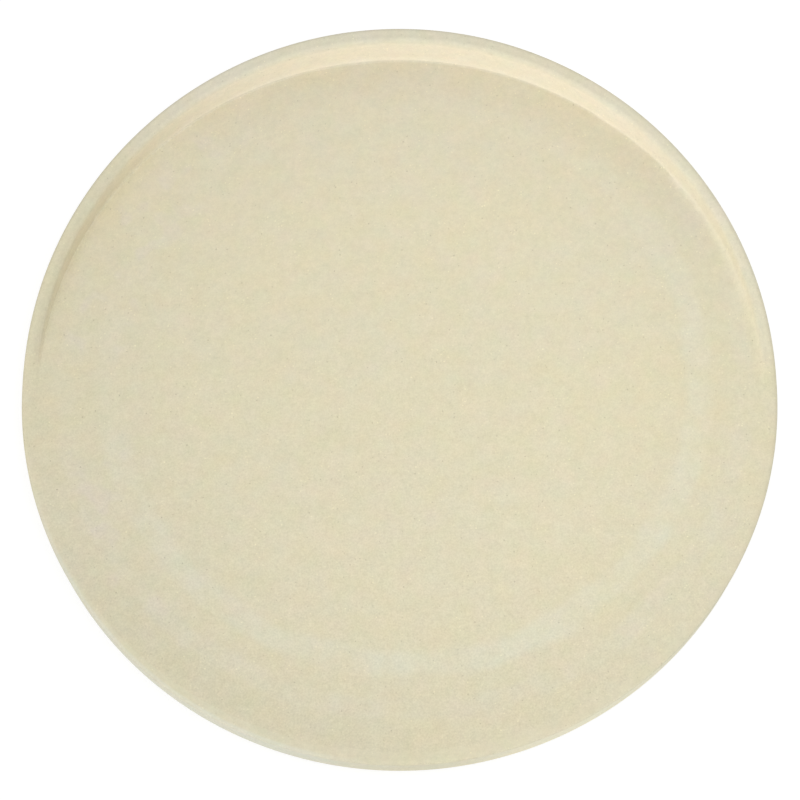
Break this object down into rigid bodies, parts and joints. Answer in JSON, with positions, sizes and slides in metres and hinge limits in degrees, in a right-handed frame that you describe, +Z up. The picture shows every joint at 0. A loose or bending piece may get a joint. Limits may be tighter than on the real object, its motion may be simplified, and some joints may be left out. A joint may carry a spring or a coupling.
{
  "type": "pizza stone",
  "caption": "Round unglazed baking stone with a flat face, a raised lip along the back that fades out at the sides, and a bevelled front edge.",
  "frame": {"origin": "centre of the flat underside, on the surface that the stone rests on", "axes": "+Z up, +Y to the back where the lip is highest, +X to the right seen from the front"},
  "size_m": [0.34, 0.34, 0.0368],
  "materials": {
    "fired_stone": "matte, fine grained, unglazed"
  },
  "bodies": {
    "root": {"baking_stone": "fired_stone"}
  },
  "joints": []
}
